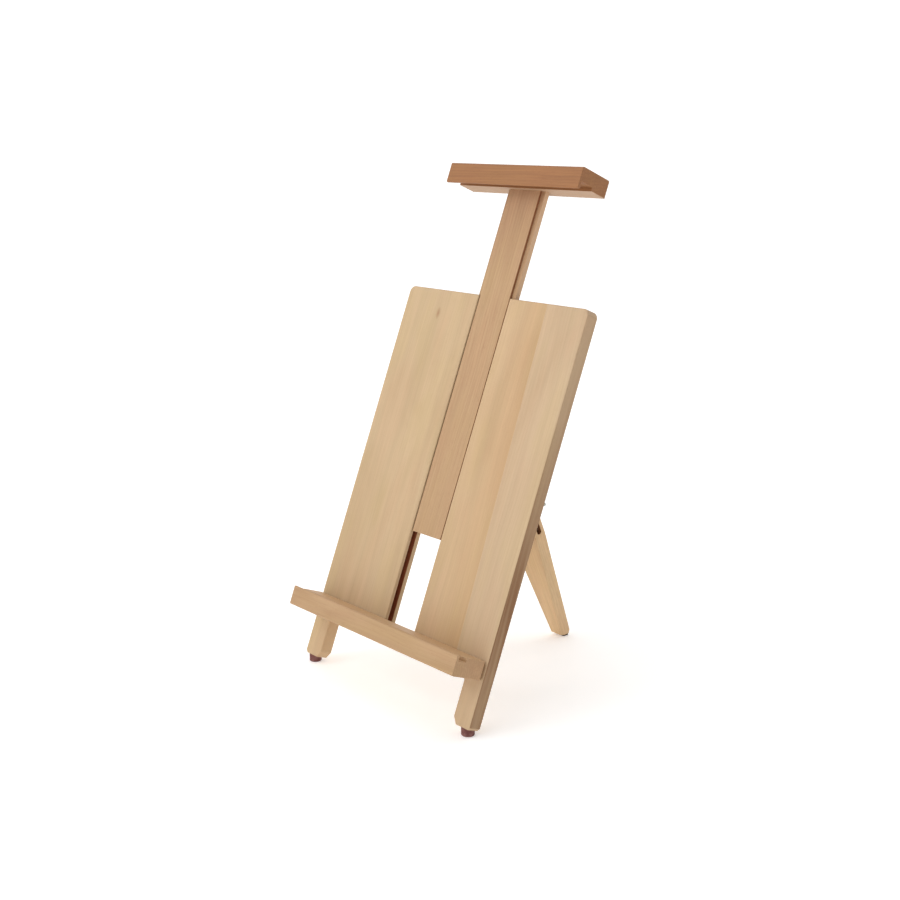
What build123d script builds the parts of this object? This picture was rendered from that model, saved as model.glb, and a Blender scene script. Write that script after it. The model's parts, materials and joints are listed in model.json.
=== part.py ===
from build123d import *
import math
import os

# A tabletop easel, in millimetres.  Z is up, the easel stands on Z = 0 and faces -Y.
#
# Two grooved boards make a panel that leans back.  A mast slides in the grooves and carries
# the top bar, and a ledge crosses the foot of the panel.  Behind it, a tapered leg hangs
# between two cheeks, and two steel arms prop it open: their bolt runs in a slot through the leg.
#
# The origin is on the floor, in the middle of the ground that the easel covers.
#
# A place on the panel is (across, up, out): X, the distance up the panel from the line where its
# front face would meet the floor, and the distance out of that face.  A place on the leg is
# (down, back) from its hinge.

# ---------------------------------------------------------------- driving dimensions

FLOOR_LINE_Y = -145.57      # Y of the line where the panel's front face would meet the floor
LEAN = 21.65                # degrees that the panel leans back from upright
LEG_SLOPE = 23.87           # degrees from upright to the open leg

PANEL_HALF = 150.0          # half the width over both boards
PANEL_TOP = 483.2
PANEL_BOTTOM = 62.0         # the edge between the feet
BOARD = 17.0                # thickness of the boards
SLOT_HALF = 26.0            # half the width of the slot between the boards
GROOVE_DEPTH = 9.0
GROOVE_FRONT = 3.8          # wood left in front of the groove
GROOVE_WIDTH = 7.0
CORNER = 8.0                # rounding of the panel's top corners
ARRIS = 0.8                 # softening of the sawn edges
BOARD_ARRIS = 1.4           # rounding of the boards' edges
SEAM_TOP = 87.0             # the glued seam of the right board, at the top of the panel
SEAM_BOTTOM = 100.0         # and at its bottom

FOOT_INNER = 122.0          # the feet run from here to the panel's outer edge
FOOT_BOTTOM = 11.0
FOOT_CHAMFER = (6.0, 8.0)   # inner bottom corner, across and up
FOOT_TRIM = 3.0             # outer bottom corner
FOOT_FILLET = 4.0           # where a foot meets the edge between the feet

PAD_RADIUS = 7.5
PAD_ACROSS = 140.0
LEG_PAD = 2.0               # thickness of the pad under the leg

MAST_HALF = 24.7
MAST_FRONT = 0.8            # depth of its front face behind the panel's
MAST_BACK = 16.5
MAST_BOTTOM = 195.0
TONGUE_HALF = 30.4
TONGUE_FRONT = 4.1
TONGUE_BACK = 10.5

BAR_HALF = 108.2
BAR_UNDERSIDE = 612.8       # it rests on the mast's end here
BAR_TOP = 633.5
BAR_FRONT = 27.0
BAR_BACK = 19.0             # depth of its back behind the panel's face
BAR_LIP = 609.0             # the front lip hangs down to here
BAR_LIP_THICKNESS = 4.0
BAR_GROOVE = (5.0, 617.5)   # its back edge (out) and its ceiling (up)

LEDGE_HALF = 148.2
LEDGE_BOTTOM = 66.5
LEDGE_TRAY = 87.6
LEDGE_LIP = 89.5
LEDGE_LIP_THICKNESS = 3.5
LEDGE_FRONT = 46.5
LEDGE_GROOVE = (31.5, 83.0)  # its back edge (out) and its floor (up)
LEDGE_RELIEF = 3.5          # chamfer of its top and end edges against the boards

RAIL = 18.0                 # thickness of the cross rails, behind the boards
RAIL_HALF = 130.0
RAIL_HEIGHT = 28.0
CLAMP_UP = 440.0            # centre heights of the rails, up the panel
HINGE_RAIL_UP = 346.0
STAY_RAIL_UP = 266.0
BOTTOM_RAIL_UP = 71.0
BOTTOM_RAIL_HEIGHT = 18.0

HINGE_UP = 342.8            # the leg's hinge
HINGE_OUT = -47.0
LEG_THICKNESS = 17.0
LEG_HALF = 25.0             # half its width down to the taper
TAPER_START = 163.4         # down the leg from the hinge
LEG_FOOT_HALF = 7.8         # half its width at the foot
SOLE = (299.0, 308.0)       # the sole's front and back edges, behind the panel's floor line
REAR_TRIM = 5.0             # chamfers from the sole up to the leg's faces, along the leg
FRONT_TRIM = 4.0

PIVOT_UP = 265.2            # the arms' pivot on the cheeks
PIVOT_OUT = -56.2
BOLT_SLOT = (109.8, 156.5)  # centres of the slot's round ends, down the leg
BOLT_SLOT_WIDTH = 7.0
ARM_WIDTH = 12.0
ARM_THICKNESS = 2.0
ARM_INNER = 25.6            # X of the arms' inner faces

CHEEK_INNER = 28.2          # X of the cheeks' inner faces
CHEEK = 18.0                # thickness of each cheek
CHEEK_BACK = -68.0
CHEEK_ROUND = 12.0

FIT = 0.05                  # radial clearance of a screw or pin that stays put
RUNNING_FIT = 0.08          # radial clearance of one that turns

SCREW_RADIUS = 1.9
SCREW_HEAD_RADIUS = 3.7
SCREW_SUNK = 0.1            # depth of the screws' heads below the wood's surface
RAIL_SCREW_ACROSS = (60.0, 115.0)
LEDGE_SCREW_ACROSS = (45.0, 125.0)
RAIL_SCREW = 30.0           # lengths of the wood screws
LEDGE_SCREW = 40.0
CHEEK_SCREW = 35.0
BAR_SCREW = 60.0
LEDGE_SCREW_UP = 75.5
CHEEK_SCREW_SHIFT = 9.0     # the cheek screws stand this far from the rails' centres
NAIL_RADIUS = 1.0
NAIL_HEAD_RADIUS = 2.5
NAIL_LENGTH = 24.0

HINGE_BOLT_RADIUS = 3.0
ARM_BOLT_RADIUS = 2.5
CLAMP_SCREW_RADIUS = 3.0

# ---------------------------------------------------------------- the panel's own directions

FLOOR_LINE = Vector(0, FLOOR_LINE_Y, 0)
ACROSS = Vector(1, 0, 0)
UP = Vector(0, math.sin(math.radians(LEAN)), math.cos(math.radians(LEAN)))
OUT = Vector(0, -math.cos(math.radians(LEAN)), math.sin(math.radians(LEAN)))


def on_panel(across, up, out):
    """The point at a place on the panel."""
    return FLOOR_LINE + ACROSS * across + UP * up + OUT * out


FACE = Plane(origin=FLOOR_LINE, x_dir=ACROSS, z_dir=OUT)        # sketch in (across, up)
SIDE = Plane(origin=FLOOR_LINE, x_dir=OUT, z_dir=-ACROSS)       # sketch in (out, up)
SECTION = Plane(origin=FLOOR_LINE, x_dir=ACROSS, z_dir=UP)      # sketch in (across, depth)


def side_at(across):
    """The side plane at a distance across; an extrusion from it runs towards -X."""
    return SIDE.offset(-across)


def seat(across, up, out, facing):
    """A plane on a surface, facing out of it, where a screw or a hole starts."""
    return Plane(origin=on_panel(across, up, out), x_dir=ACROSS, z_dir=facing)


# ---------------------------------------------------------------- the leg's own directions

HINGE = on_panel(0, HINGE_UP, HINGE_OUT)
PIVOT = on_panel(0, PIVOT_UP, PIVOT_OUT)
DOWN = Vector(0, math.sin(math.radians(LEG_SLOPE)), -math.cos(math.radians(LEG_SLOPE)))
BACK = Vector(0, math.cos(math.radians(LEG_SLOPE)), math.sin(math.radians(LEG_SLOPE)))

# Each arm is as long as its pivot is far from the hinge, so when the arms turn twice as far
# as the leg, their bolt stays on the leg's middle line.
ARM_LENGTH = (PIVOT - HINGE).length
ARM_BOLT = HINGE + DOWN * (PIVOT - HINGE).dot(DOWN) * 2

LEG_FACE = Plane(origin=HINGE, x_dir=ACROSS, z_dir=BACK)        # sketch in (across, down)
LEG_SIDE = Plane(origin=HINGE, x_dir=DOWN, z_dir=ACROSS)        # sketch in (down, back)
ARM_SIDE = Plane(origin=PIVOT, x_dir=ARM_BOLT - PIVOT, z_dir=ACROSS)


def on_leg(behind, height):
    """The (down, back) of a point behind the panel's floor line, at a height."""
    from_hinge = FLOOR_LINE + Vector(0, behind, height) - HINGE
    return (from_hinge.dot(DOWN), from_hinge.dot(BACK))


def across_axis(point, across):
    """A plane that faces +X, on the crosswise line through a point."""
    return Plane(origin=point + ACROSS * across, x_dir=(0, 1, 0), z_dir=ACROSS)


# ---------------------------------------------------------------- helpers

os.makedirs("parts", exist_ok=True)


def save(piece, name):
    """Label a finished piece and write it as one STEP file."""
    piece.part.label = name
    export_step(piece.part, f"parts/{name}.step")


def mirrored(piece):
    """The same piece on the other side of the easel."""
    with BuildPart() as other:
        mirror(piece.part, about=Plane.YZ)
    return other


def cut_screw_seats(seats, length):
    """Countersunk holes for wood screws, cut from the part being built."""
    with Locations(*seats):
        CounterSinkHole(
            radius=SCREW_RADIUS + FIT,
            counter_sink_radius=SCREW_HEAD_RADIUS + SCREW_SUNK + FIT,
            depth=length,
            counter_sink_angle=90,
        )


def wood_screws(seats, length):
    """One countersunk wood screw in each seat, with a crossed recess in its head."""
    head = SCREW_HEAD_RADIUS - SCREW_RADIUS
    point = 5.0
    recess = 4.4
    recess_width = 0.9
    with BuildPart() as screws:
        for place in seats:
            with BuildSketch(Plane(place.origin, x_dir=place.x_dir, z_dir=-place.y_dir)):
                with BuildLine():
                    Polyline(
                        (0, -SCREW_SUNK),
                        (SCREW_HEAD_RADIUS, -SCREW_SUNK),
                        (SCREW_RADIUS, -SCREW_SUNK - head),
                        (SCREW_RADIUS, point - length),
                        (0, -length),
                        close=True,
                    )
                make_face()
            revolve(axis=Axis(place.origin, place.z_dir))
        with Locations(*seats):
            Box(recess, recess_width, head * 2, mode=Mode.SUBTRACT)
            Box(recess_width, recess, head * 2, mode=Mode.SUBTRACT)
    return screws


def crosswise_ring(point, start, end, outer, inner):
    """A washer, sleeve or cap about a crosswise axis, from one X to another."""
    on_start = (Align.CENTER, Align.CENTER, Align.MIN)
    with Locations(across_axis(point, start)):
        Cylinder(outer, end - start, align=on_start)
        Cylinder(inner, end - start, align=on_start, mode=Mode.SUBTRACT)


# ---------------------------------------------------------------- where the screws stand

RAILS_UP = (BOTTOM_RAIL_UP, STAY_RAIL_UP, HINGE_RAIL_UP, CLAMP_UP)
CHEEK_CENTRE = CHEEK_INNER + CHEEK / 2
BAR_SCREW_ACROSS = 14.0
NAIL_HEAD_UP = 6.2


def back_seats(across_each_side, up, out):
    """Where a row of screws crosses a surface that faces the back."""
    return [seat(side * across, up, out, -OUT) for side in (-1, 1) for across in across_each_side]


def rail_seats(up, out):
    """Where one rail's four screws cross a surface that faces the back."""
    return back_seats(RAIL_SCREW_ACROSS, up, out)


def ledge_seats(out):
    """Where the ledge's four screws cross a surface that faces the back."""
    return back_seats(LEDGE_SCREW_ACROSS, LEDGE_SCREW_UP, out)


def cheek_seats(up, out):
    """Where a rail's two cheek screws cross a surface that faces the front."""
    return [seat(side * CHEEK_CENTRE, up, out, OUT) for side in (-1, 1)]


def right_hand(seats):
    """The seats on the right half of the easel."""
    return [place for place in seats if place.origin.X > 0]


BAR_SEATS = [seat(side * BAR_SCREW_ACROSS, BAR_TOP, -BOARD / 2, UP) for side in (-1, 1)]
NAIL_SEATS = [seat(side * PAD_ACROSS, NAIL_HEAD_UP, -BOARD / 2, -UP) for side in (-1, 1)]

# ---------------------------------------------------------------- the boards of the panel

with BuildPart() as right_board:
    with BuildSketch(FACE) as board_outline:
        with BuildLine():
            Polyline(
                (SLOT_HALF, PANEL_BOTTOM),
                (FOOT_INNER, PANEL_BOTTOM),
                (FOOT_INNER, FOOT_BOTTOM + FOOT_CHAMFER[1]),
                (FOOT_INNER + FOOT_CHAMFER[0], FOOT_BOTTOM),
                (PANEL_HALF - FOOT_TRIM, FOOT_BOTTOM),
                (PANEL_HALF, FOOT_BOTTOM + FOOT_TRIM),
                (PANEL_HALF, PANEL_TOP),
                (SLOT_HALF, PANEL_TOP),
                close=True,
            )
        make_face()
        fillet(board_outline.vertices().sort_by_distance((PANEL_HALF, PANEL_TOP))[0], CORNER)
        fillet(board_outline.vertices().sort_by_distance((FOOT_INNER, PANEL_BOTTOM))[0], FOOT_FILLET)
    extrude(amount=-BOARD)
    broad_faces = right_board.faces().filter_by(Axis((0, 0, 0), OUT))
    fillet(broad_faces.edges(), BOARD_ARRIS)
    with BuildSketch(SECTION.offset(FOOT_BOTTOM)):
        with Locations((SLOT_HALF, GROOVE_FRONT + GROOVE_WIDTH / 2)):
            Rectangle(GROOVE_DEPTH * 2, GROOVE_WIDTH)
    extrude(amount=PANEL_TOP, mode=Mode.SUBTRACT)
    cut_screw_seats(right_hand(ledge_seats(-BOARD)), LEDGE_SCREW)
    for up in RAILS_UP:
        with Locations(*right_hand(rail_seats(up, -BOARD))):
            Hole(SCREW_RADIUS + FIT, depth=RAIL_SCREW - RAIL)
    with Locations(NAIL_SEATS[1]):
        Hole(NAIL_RADIUS + FIT, depth=NAIL_LENGTH)

left_board = mirrored(right_board)
save(left_board, "left_board")

# The right board is glued up from two staves; their seam runs out a little towards the bottom.
seam_middle = on_panel((SEAM_TOP + SEAM_BOTTOM) / 2, (PANEL_TOP + PANEL_BOTTOM) / 2, 0)
seam_normal = ACROSS * (PANEL_TOP - PANEL_BOTTOM) + UP * (SEAM_BOTTOM - SEAM_TOP)
SEAM = Plane(origin=seam_middle, x_dir=OUT, z_dir=seam_normal)

with BuildPart() as right_board_outer_stave:
    add(right_board.part)
    split(bisect_by=SEAM, keep=Keep.TOP)
save(right_board_outer_stave, "right_board_outer_stave")

with BuildPart() as right_board_inner_stave:
    add(right_board.part)
    split(bisect_by=SEAM, keep=Keep.BOTTOM)
save(right_board_inner_stave, "right_board_inner_stave")

# ---------------------------------------------------------------- the rubber feet of the panel

FOOT_END = SECTION.offset(FOOT_BOTTOM)
FOOT_END_CENTRE = on_panel(PAD_ACROSS, FOOT_BOTTOM, -BOARD / 2)

# Each pad stands upright on the floor and is cut to the slant of the foot above it.
with BuildPart() as right_foot_pad:
    with BuildSketch(Plane.XY):
        with Locations((FOOT_END_CENTRE.X, FOOT_END_CENTRE.Y)):
            Circle(PAD_RADIUS)
    extrude(amount=FOOT_BOTTOM * 2)
    split(bisect_by=FOOT_END, keep=Keep.BOTTOM)
    fillet(right_foot_pad.edges().group_by(Axis.Z)[0], 1.2)
    with Locations(NAIL_SEATS[1]):
        Cylinder(
            NAIL_HEAD_RADIUS + 0.5,
            FOOT_BOTTOM,
            align=(Align.CENTER, Align.CENTER, Align.MIN),
            mode=Mode.SUBTRACT,
        )
        Cylinder(
            NAIL_RADIUS + FIT,
            FOOT_BOTTOM,
            align=(Align.CENTER, Align.CENTER, Align.MAX),
            mode=Mode.SUBTRACT,
        )
save(right_foot_pad, "right_foot_pad")

left_foot_pad = mirrored(right_foot_pad)
save(left_foot_pad, "left_foot_pad")

with BuildPart() as foot_pad_nails:
    with Locations(*NAIL_SEATS):
        Cylinder(NAIL_HEAD_RADIUS, 1.0, align=(Align.CENTER, Align.CENTER, Align.MIN))
        Cylinder(NAIL_RADIUS, NAIL_LENGTH, align=(Align.CENTER, Align.CENTER, Align.MAX))
save(foot_pad_nails, "foot_pad_nails")

# ---------------------------------------------------------------- the ledge

with BuildPart() as ledge:
    with BuildSketch(SIDE) as ledge_profile:
        with BuildLine():
            Polyline(
                (0, LEDGE_BOTTOM),
                (LEDGE_FRONT, LEDGE_BOTTOM),
                (LEDGE_FRONT, LEDGE_LIP),
                (LEDGE_FRONT - LEDGE_LIP_THICKNESS, LEDGE_LIP),
                (LEDGE_FRONT - LEDGE_LIP_THICKNESS, LEDGE_GROOVE[1]),
                (LEDGE_GROOVE[0], LEDGE_GROOVE[1]),
                (LEDGE_GROOVE[0], LEDGE_TRAY),
                (0, LEDGE_TRAY),
                close=True,
            )
        make_face()
        fillet(ledge_profile.vertices().group_by(Axis.Y)[-1], LEDGE_LIP_THICKNESS / 2 - 0.1)
        fillet(ledge_profile.vertices().sort_by_distance((LEDGE_FRONT, LEDGE_BOTTOM))[0], 2.0)
        fillet(ledge_profile.vertices().sort_by_distance((LEDGE_GROOVE[0], LEDGE_TRAY))[0], 0.6)
        chamfer(ledge_profile.vertices().sort_by_distance((0, LEDGE_TRAY))[0], LEDGE_RELIEF)
    extrude(amount=LEDGE_HALF, both=True)
    rear_face = ledge.faces().sort_by(Axis(FLOOR_LINE, OUT))[0]
    chamfer(rear_face.edges().group_by(Axis.X)[0], LEDGE_RELIEF)
    rear_face = ledge.faces().sort_by(Axis(FLOOR_LINE, OUT))[0]
    chamfer(rear_face.edges().group_by(Axis.X)[-1], LEDGE_RELIEF)
    with Locations(*ledge_seats(0)):
        Hole(SCREW_RADIUS + FIT, depth=LEDGE_SCREW - BOARD)
save(ledge, "ledge")

ledge_screws = wood_screws(ledge_seats(-BOARD), LEDGE_SCREW)
save(ledge_screws, "ledge_screws")

# ---------------------------------------------------------------- the mast and its top bar

with BuildPart() as mast:
    with BuildSketch(SECTION.offset(MAST_BOTTOM)):
        with Locations((0, (MAST_FRONT + MAST_BACK) / 2)):
            Rectangle(MAST_HALF * 2, MAST_BACK - MAST_FRONT)
        with Locations((0, (TONGUE_FRONT + TONGUE_BACK) / 2)):
            Rectangle(TONGUE_HALF * 2, TONGUE_BACK - TONGUE_FRONT)
    extrude(amount=BAR_UNDERSIDE - MAST_BOTTOM)
    outer_edges = mast.edges().filter_by(Axis((0, 0, 0), UP)).group_by(Axis((0, 0, 0), OUT))
    fillet(outer_edges[0] + outer_edges[-1], ARRIS)
    with Locations(*BAR_SEATS):
        Cylinder(
            SCREW_RADIUS + FIT,
            BAR_SCREW,
            align=(Align.CENTER, Align.CENTER, Align.MAX),
            mode=Mode.SUBTRACT,
        )
save(mast, "mast")

with BuildPart() as top_bar:
    with BuildSketch(SIDE) as bar_profile:
        with BuildLine():
            Polyline(
                (-BAR_BACK, BAR_UNDERSIDE),
                (BAR_GROOVE[0], BAR_UNDERSIDE),
                BAR_GROOVE,
                (BAR_FRONT - BAR_LIP_THICKNESS, BAR_GROOVE[1]),
                (BAR_FRONT - BAR_LIP_THICKNESS, BAR_LIP),
                (BAR_FRONT, BAR_LIP),
                (BAR_FRONT, BAR_TOP),
                (-BAR_BACK, BAR_TOP),
                close=True,
            )
        make_face()
        fillet(bar_profile.vertices().group_by(Axis.Y)[0], BAR_LIP_THICKNESS / 2 - 0.1)
        fillet(bar_profile.vertices().sort_by_distance((BAR_FRONT, BAR_TOP))[0], 2.0)
        fillet(bar_profile.vertices().sort_by_distance((-BAR_BACK, BAR_TOP))[0], 2.0)
    extrude(amount=BAR_HALF, both=True)
    cut_screw_seats(BAR_SEATS, BAR_SCREW)
save(top_bar, "top_bar")

top_bar_screws = wood_screws(BAR_SEATS, BAR_SCREW)
save(top_bar_screws, "top_bar_screws")

# ---------------------------------------------------------------- the rails behind the boards

RAIL_BACK = -BOARD - RAIL


def make_rail(up, height):
    """A rail across the backs of both boards, with the holes for its own screws."""
    with BuildPart() as rail:
        with BuildSketch(FACE.offset(-BOARD)):
            with Locations((0, up)):
                Rectangle(RAIL_HALF * 2, height)
        extrude(amount=-RAIL)
        back_face = rail.faces().sort_by(Axis((0, 0, 0), OUT))[0]
        chamfer(back_face.edges(), ARRIS)
        cut_screw_seats(rail_seats(up, RAIL_BACK), RAIL_SCREW)
    return rail


def make_cheek_rail(up, cheek_screws_up):
    """A rail that also carries the cheeks, held by screws sunk into its front."""
    with BuildPart() as rail:
        add(make_rail(up, RAIL_HEIGHT).part)
        cut_screw_seats(cheek_seats(cheek_screws_up, -BOARD), CHEEK_SCREW)
    return rail


bottom_rail = make_rail(BOTTOM_RAIL_UP, BOTTOM_RAIL_HEIGHT)
save(bottom_rail, "bottom_rail")

STAY_CHEEK_SCREW_UP = STAY_RAIL_UP - CHEEK_SCREW_SHIFT
stay_rail = make_cheek_rail(STAY_RAIL_UP, STAY_CHEEK_SCREW_UP)
save(stay_rail, "stay_rail")

HINGE_CHEEK_SCREW_UP = HINGE_RAIL_UP + CHEEK_SCREW_SHIFT
hinge_rail = make_cheek_rail(HINGE_RAIL_UP, HINGE_CHEEK_SCREW_UP)
save(hinge_rail, "hinge_rail")

rail_screw_seats = [place for up in RAILS_UP for place in rail_seats(up, RAIL_BACK)]
rail_screws = wood_screws(rail_screw_seats, RAIL_SCREW)
save(rail_screws, "rail_screws")

# ---------------------------------------------------------------- the mast's clamp

INSERT_LENGTH = 14.0
INSERT_RADIUS = 4.5
CLAMP_TIP_OUT = -16.9       # the screw's tip, just short of the mast's back
CLAMP_END_OUT = -50.0
KNOB_OUT = -38.0            # the knob's front end
KNOB_NECK = 5.0
KNOB_NECK_RADIUS = 8.0
KNOB_HEAD = 14.0
KNOB_BODY_RADIUS = 12.0
KNOB_LOBES = 5
KNOB_LOBE_RADIUS = 5.0

CLAMP_SEAT = seat(0, CLAMP_UP, RAIL_BACK, -OUT)
KNOB_SEAT = seat(0, CLAMP_UP, KNOB_OUT, -OUT)

with BuildPart() as clamp_rail:
    add(make_rail(CLAMP_UP, RAIL_HEIGHT).part)
    with Locations(CLAMP_SEAT):
        CounterBoreHole(
            radius=CLAMP_SCREW_RADIUS + 0.4,
            counter_bore_radius=INSERT_RADIUS + FIT,
            counter_bore_depth=INSERT_LENGTH,
            depth=RAIL,
        )
save(clamp_rail, "clamp_rail")

with BuildPart() as clamp_insert:
    with BuildSketch(CLAMP_SEAT):
        Circle(INSERT_RADIUS)
        Circle(CLAMP_SCREW_RADIUS + RUNNING_FIT, mode=Mode.SUBTRACT)
    extrude(amount=-INSERT_LENGTH)
save(clamp_insert, "clamp_insert")

with BuildPart() as clamp_screw:
    with BuildSketch(seat(0, CLAMP_UP, CLAMP_TIP_OUT, -OUT)):
        Circle(CLAMP_SCREW_RADIUS)
    extrude(amount=CLAMP_TIP_OUT - CLAMP_END_OUT)
    chamfer(clamp_screw.edges(), 0.6)
save(clamp_screw, "clamp_screw")

with BuildPart() as clamp_knob:
    with BuildSketch(KNOB_SEAT):
        Circle(KNOB_NECK_RADIUS)
    extrude(amount=KNOB_NECK)
    with BuildSketch(KNOB_SEAT.offset(KNOB_NECK)) as knob_outline:
        Circle(KNOB_BODY_RADIUS)
        with PolarLocations(KNOB_BODY_RADIUS, KNOB_LOBES):
            Circle(KNOB_LOBE_RADIUS)
        fillet(knob_outline.vertices(), 2.5)
    extrude(amount=KNOB_HEAD)
    knob_ends = clamp_knob.edges().group_by(Axis((0, 0, 0), -OUT))
    fillet(knob_ends[-1], 2.5)
    with Locations(KNOB_SEAT):
        Cylinder(
            CLAMP_SCREW_RADIUS + FIT,
            KNOB_OUT - CLAMP_END_OUT + FIT,
            align=(Align.CENTER, Align.CENTER, Align.MIN),
            mode=Mode.SUBTRACT,
        )
save(clamp_knob, "clamp_knob")

# ---------------------------------------------------------------- the cheeks and the leg's hinge

with BuildPart() as right_cheek:
    with BuildSketch(side_at(CHEEK_INNER + CHEEK)) as cheek_profile:
        with BuildLine():
            Polyline(
                (RAIL_BACK, STAY_RAIL_UP - RAIL_HEIGHT / 2),
                (RAIL_BACK, HINGE_RAIL_UP + RAIL_HEIGHT / 2),
                (CHEEK_BACK, HINGE_RAIL_UP + RAIL_HEIGHT / 2),
                (CHEEK_BACK, STAY_RAIL_UP - RAIL_HEIGHT / 2),
                close=True,
            )
        make_face()
        fillet(cheek_profile.vertices().group_by(Axis.X)[0], CHEEK_ROUND)
    extrude(amount=CHEEK)
    with Locations(across_axis(HINGE, CHEEK_INNER + CHEEK)):
        Hole(HINGE_BOLT_RADIUS + FIT, depth=CHEEK * 2)
    with Locations(across_axis(PIVOT, CHEEK_INNER + CHEEK)):
        Hole(ARM_BOLT_RADIUS + RUNNING_FIT, depth=CHEEK * 2)
    for up in (STAY_CHEEK_SCREW_UP, HINGE_CHEEK_SCREW_UP):
        with Locations(*right_hand(cheek_seats(up, RAIL_BACK))):
            Hole(SCREW_RADIUS + FIT, depth=CHEEK_SCREW - RAIL)
save(right_cheek, "right_cheek")

left_cheek = mirrored(right_cheek)
save(left_cheek, "left_cheek")

cheek_screw_seats = cheek_seats(STAY_CHEEK_SCREW_UP, -BOARD) + cheek_seats(HINGE_CHEEK_SCREW_UP, -BOARD)
cheek_screws = wood_screws(cheek_screw_seats, CHEEK_SCREW)
save(cheek_screws, "cheek_screws")

CHEEK_OUTER = CHEEK_INNER + CHEEK
WASHER = 1.6
WASHER_RADIUS = 6.0
SPACER_RADIUS = 6.0
NUT = 5.0
NUT_RADIUS = 5.0            # half the width across the flats of the bolt's head and nut
THREAD_PROUD = 3.0

with BuildPart() as hinge_bolt:
    with BuildSketch(across_axis(HINGE, -CHEEK_OUTER - WASHER)):
        Circle(HINGE_BOLT_RADIUS)
    extrude(amount=2 * (CHEEK_OUTER + WASHER) + NUT + THREAD_PROUD)
    chamfer(hinge_bolt.edges().group_by(Axis.X)[-1], 0.6)
    with BuildSketch(across_axis(HINGE, -CHEEK_OUTER - WASHER)):
        RegularPolygon(NUT_RADIUS, 6, major_radius=False)
    extrude(amount=-NUT + 1)
save(hinge_bolt, "hinge_bolt")

with BuildPart() as hinge_nut:
    with BuildSketch(across_axis(HINGE, CHEEK_OUTER + WASHER)):
        RegularPolygon(NUT_RADIUS, 6, major_radius=False)
        Circle(HINGE_BOLT_RADIUS + FIT, mode=Mode.SUBTRACT)
    extrude(amount=NUT)
save(hinge_nut, "hinge_nut")

with BuildPart() as hinge_washers:
    for start in (-CHEEK_OUTER - WASHER, CHEEK_OUTER):
        crosswise_ring(HINGE, start, start + WASHER, WASHER_RADIUS, HINGE_BOLT_RADIUS + FIT)
save(hinge_washers, "hinge_washers")

# Two sleeves keep the leg in the middle, just clear of it.
LEG_GAP = 0.3
with BuildPart() as hinge_spacers:
    for start, end in ((-CHEEK_INNER, -LEG_HALF - LEG_GAP), (LEG_HALF + LEG_GAP, CHEEK_INNER)):
        crosswise_ring(HINGE, start, end, SPACER_RADIUS, HINGE_BOLT_RADIUS + FIT)
save(hinge_spacers, "hinge_spacers")

# ---------------------------------------------------------------- the leg

SOLE_FRONT = on_leg(SOLE[0], LEG_PAD)
SOLE_BACK = on_leg(SOLE[1], LEG_PAD)
LEG_END = SOLE_BACK[0]

with BuildPart() as rear_leg:
    with BuildSketch(LEG_FACE.offset(-LEG_THICKNESS / 2)):
        with BuildLine():
            Polyline(
                (-LEG_HALF, -LEG_THICKNESS),
                (LEG_HALF, -LEG_THICKNESS),
                (LEG_HALF, TAPER_START),
                (LEG_FOOT_HALF, LEG_END),
                (-LEG_FOOT_HALF, LEG_END),
                (-LEG_HALF, TAPER_START),
                close=True,
            )
        make_face()
    extrude(amount=LEG_THICKNESS)
    long_edges = rear_leg.edges().filter_by(lambda edge: edge.length > LEG_THICKNESS * 5)
    fillet(long_edges, ARRIS)
    with BuildSketch(LEG_SIDE):
        with BuildLine():
            Polyline(
                (0, LEG_THICKNESS / 2),
                (SOLE_BACK[0] - REAR_TRIM, LEG_THICKNESS / 2),
                SOLE_BACK,
                SOLE_FRONT,
                (SOLE_FRONT[0] - FRONT_TRIM, -LEG_THICKNESS / 2),
                (0, -LEG_THICKNESS / 2),
            )
            ThreePointArc(
                (0, -LEG_THICKNESS / 2),
                (-LEG_THICKNESS / 2, 0),
                (0, LEG_THICKNESS / 2),
            )
        make_face()
    extrude(amount=LEG_HALF * 2, both=True, mode=Mode.INTERSECT)
    with BuildSketch(LEG_SIDE):
        with Locations((sum(BOLT_SLOT) / 2, 0)):
            SlotCenterToCenter(BOLT_SLOT[1] - BOLT_SLOT[0], BOLT_SLOT_WIDTH)
        Circle(HINGE_BOLT_RADIUS + RUNNING_FIT)
    extrude(amount=LEG_HALF * 2, both=True, mode=Mode.SUBTRACT)
save(rear_leg, "rear_leg")

with BuildPart() as leg_pad:
    with BuildSketch(Plane.XY) as leg_pad_outline:
        with Locations((0, FLOOR_LINE_Y + sum(SOLE) / 2)):
            Rectangle(LEG_FOOT_HALF * 2, SOLE[1] - SOLE[0])
        fillet(leg_pad_outline.vertices(), 1.5)
    extrude(amount=LEG_PAD)
save(leg_pad, "leg_pad")

# ---------------------------------------------------------------- the steel arms that prop the leg

PIN_CAP_GAP = 0.3
PIN_CAP = 2.0
PIN_CAP_RADIUS = 5.0
PIN_PROUD = 1.0
ARM_OUTER = ARM_INNER + ARM_THICKNESS
ARM_WASHER = 1.0
ARM_WASHER_RADIUS = 5.0

with BuildPart() as right_stay_arm:
    with BuildSketch(ARM_SIDE.offset(ARM_INNER)):
        with Locations((ARM_LENGTH / 2, 0)):
            SlotCenterToCenter(ARM_LENGTH, ARM_WIDTH)
        with Locations((0, 0), (ARM_LENGTH, 0)):
            Circle(ARM_BOLT_RADIUS + FIT, mode=Mode.SUBTRACT)
    extrude(amount=ARM_THICKNESS)
save(right_stay_arm, "right_stay_arm")

left_stay_arm = mirrored(right_stay_arm)
save(left_stay_arm, "left_stay_arm")

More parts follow.
